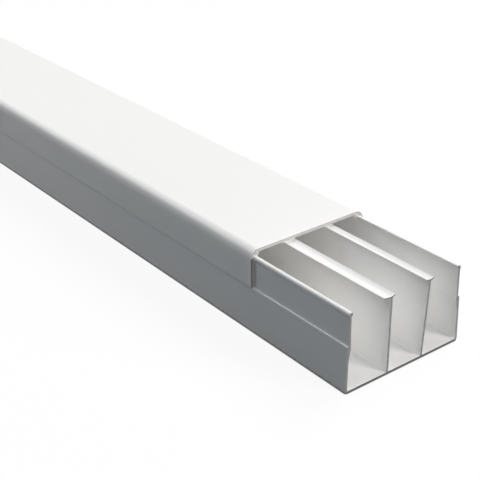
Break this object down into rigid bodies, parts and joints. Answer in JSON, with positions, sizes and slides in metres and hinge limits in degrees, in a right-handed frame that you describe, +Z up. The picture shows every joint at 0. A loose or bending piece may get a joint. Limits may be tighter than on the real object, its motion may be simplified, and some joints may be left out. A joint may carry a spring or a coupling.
{
  "type": "cord cover raceway",
  "caption": "Long white PVC trunking with a flat back, stepped side walls, inner partitions and a clip-on cover slid back from one end to show the cable compartments.",
  "frame": {"origin": "middle of the base's flat underside, halfway along the base", "axes": "+X along the stock towards the end where the cover stands back, +Y across the width, +Z up from the flat back to the cover"},
  "size_m": [2.094, 0.1, 0.062],
  "materials": {
    "base_pvc": "semi-gloss extruded white",
    "cover_pvc": "semi-gloss extruded white"
  },
  "bodies": {
    "base": {"channel_base": "base_pvc"},
    "cover": {"clip_cover": "cover_pvc"}
  },
  "joints": [
    {"name": "cover_slide", "type": "slide", "parent": "base", "child": "cover", "axis": [1, 0, 0], "range_m": [-1.92, 0.094]}
  ]
}
